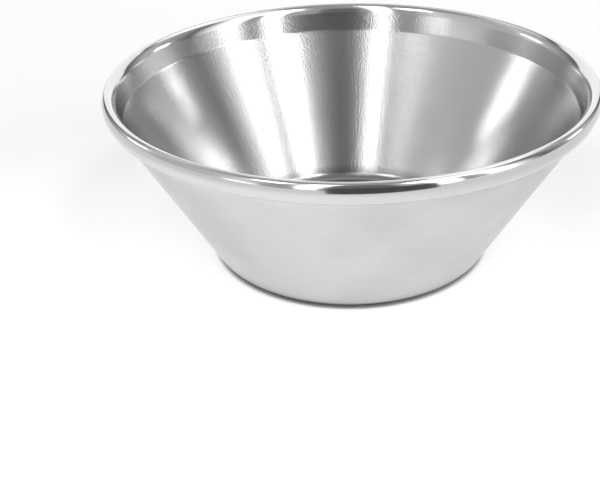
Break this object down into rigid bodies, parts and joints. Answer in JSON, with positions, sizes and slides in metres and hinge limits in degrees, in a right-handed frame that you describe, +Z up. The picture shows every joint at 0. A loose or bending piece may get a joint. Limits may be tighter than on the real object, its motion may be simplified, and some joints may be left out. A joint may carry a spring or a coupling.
{
  "type": "prep bowl",
  "caption": "Small flared stainless prep bowl with a flat base, a straight cone wall and a hollow rolled rim.",
  "frame": {"origin": "middle of the flat base, on the surface that the bowl stands on", "axes": "+Z up along the axis of the bowl, out of its mouth; the bowl is round, so X and Y are free"},
  "size_m": [0.076, 0.076, 0.0285],
  "materials": {
    "satin_steel": "satin, with fine spun lines round the axis",
    "polished_steel": "polished"
  },
  "bodies": {
    "root": {"bowl_body": "satin_steel", "rolled_rim": "polished_steel"}
  },
  "joints": []
}
